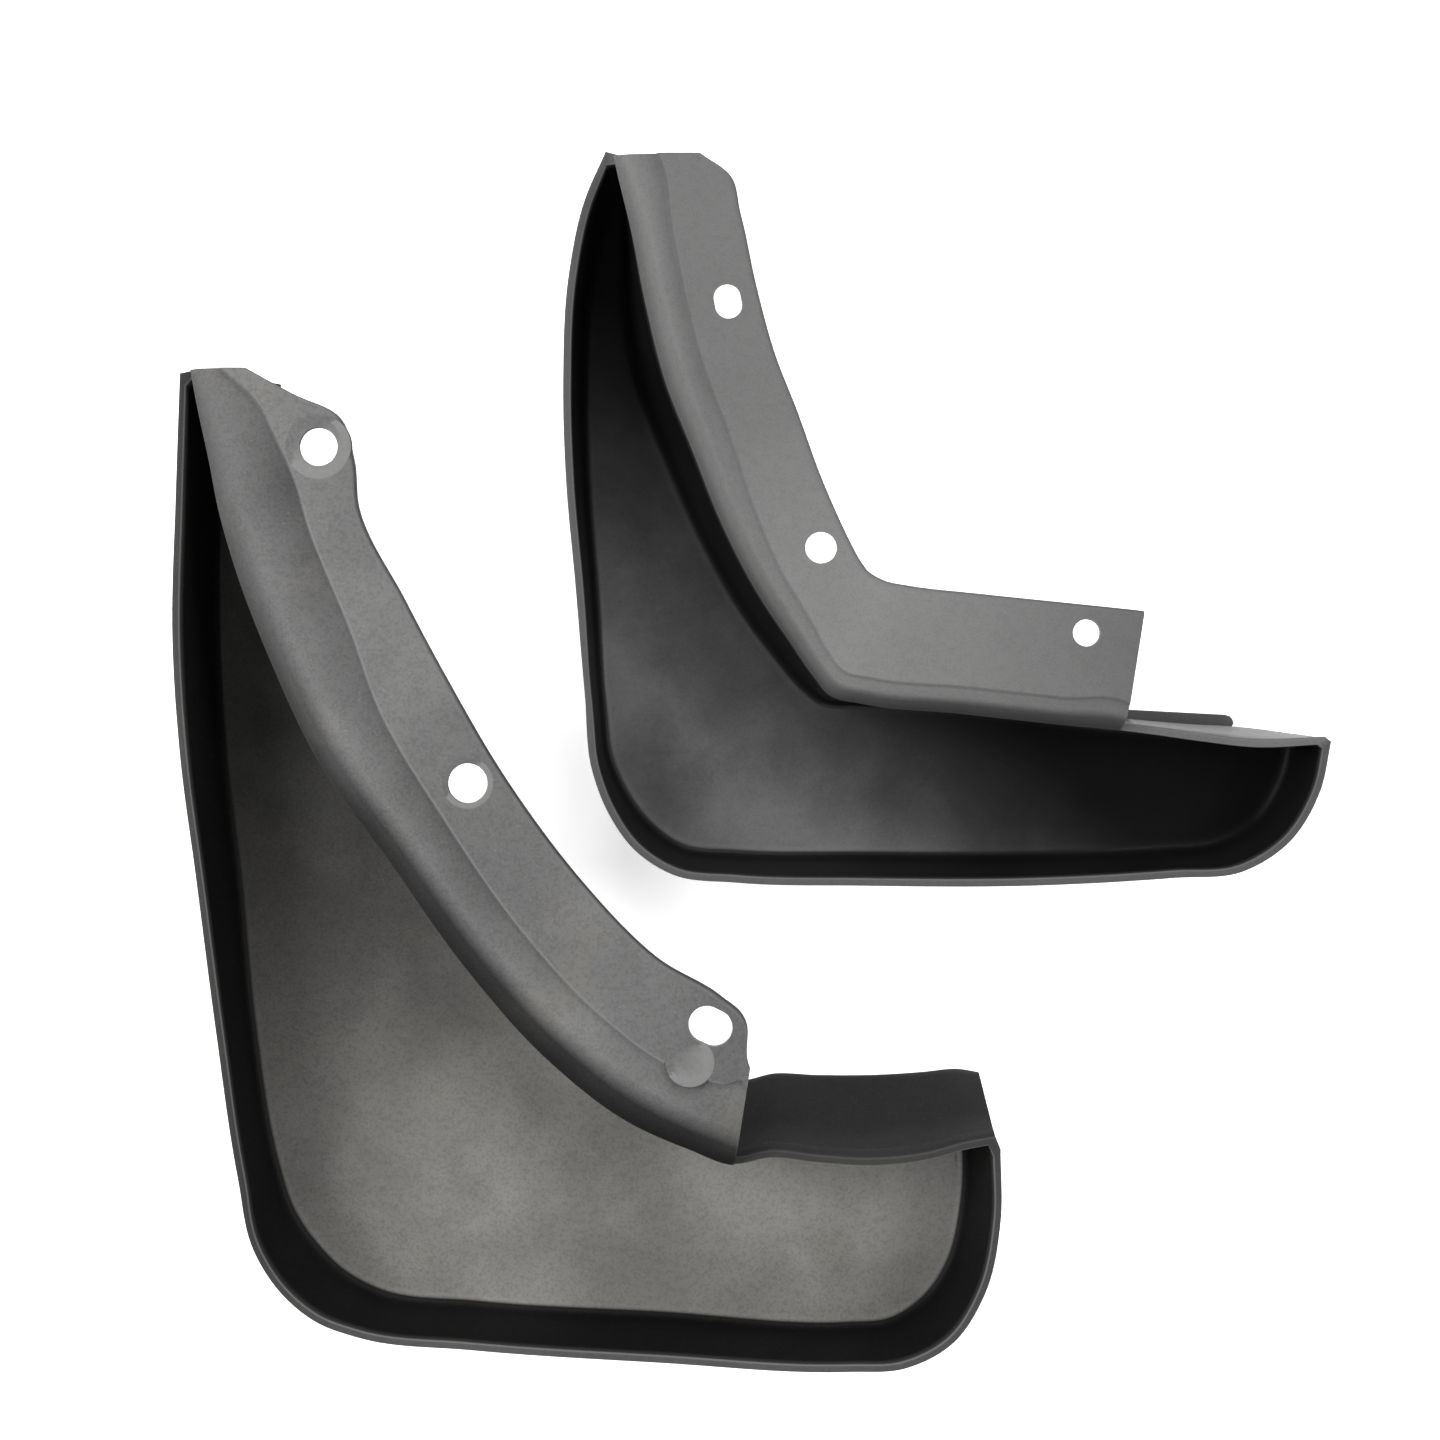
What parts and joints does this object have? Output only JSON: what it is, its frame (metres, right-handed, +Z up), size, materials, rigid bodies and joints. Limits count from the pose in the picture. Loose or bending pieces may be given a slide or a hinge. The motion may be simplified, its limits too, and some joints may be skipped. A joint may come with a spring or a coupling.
{
  "type": "mud flap set",
  "caption": "Moulded front and rear mud flaps for one side of a car: hollow trays with a screw flange along the wheel-arch edge, laid face down.",
  "frame": {"origin": "centre of the pair's footprint, on the surface that the show faces lie on", "axes": "+Z up out of the trays, normal to the show faces; +Y from the bottom edges of the flaps towards the tips of their arches; +X from the front flap towards the rear flap"},
  "size_m": [0.3718, 0.3898, 0.046],
  "materials": {
    "front_plastic": "satin, hazy on the flange and panel",
    "rear_plastic": "smooth, softly glossy"
  },
  "bodies": {
    "root": {"front_flap": "front_plastic", "rear_flap": "rear_plastic"}
  },
  "joints": []
}
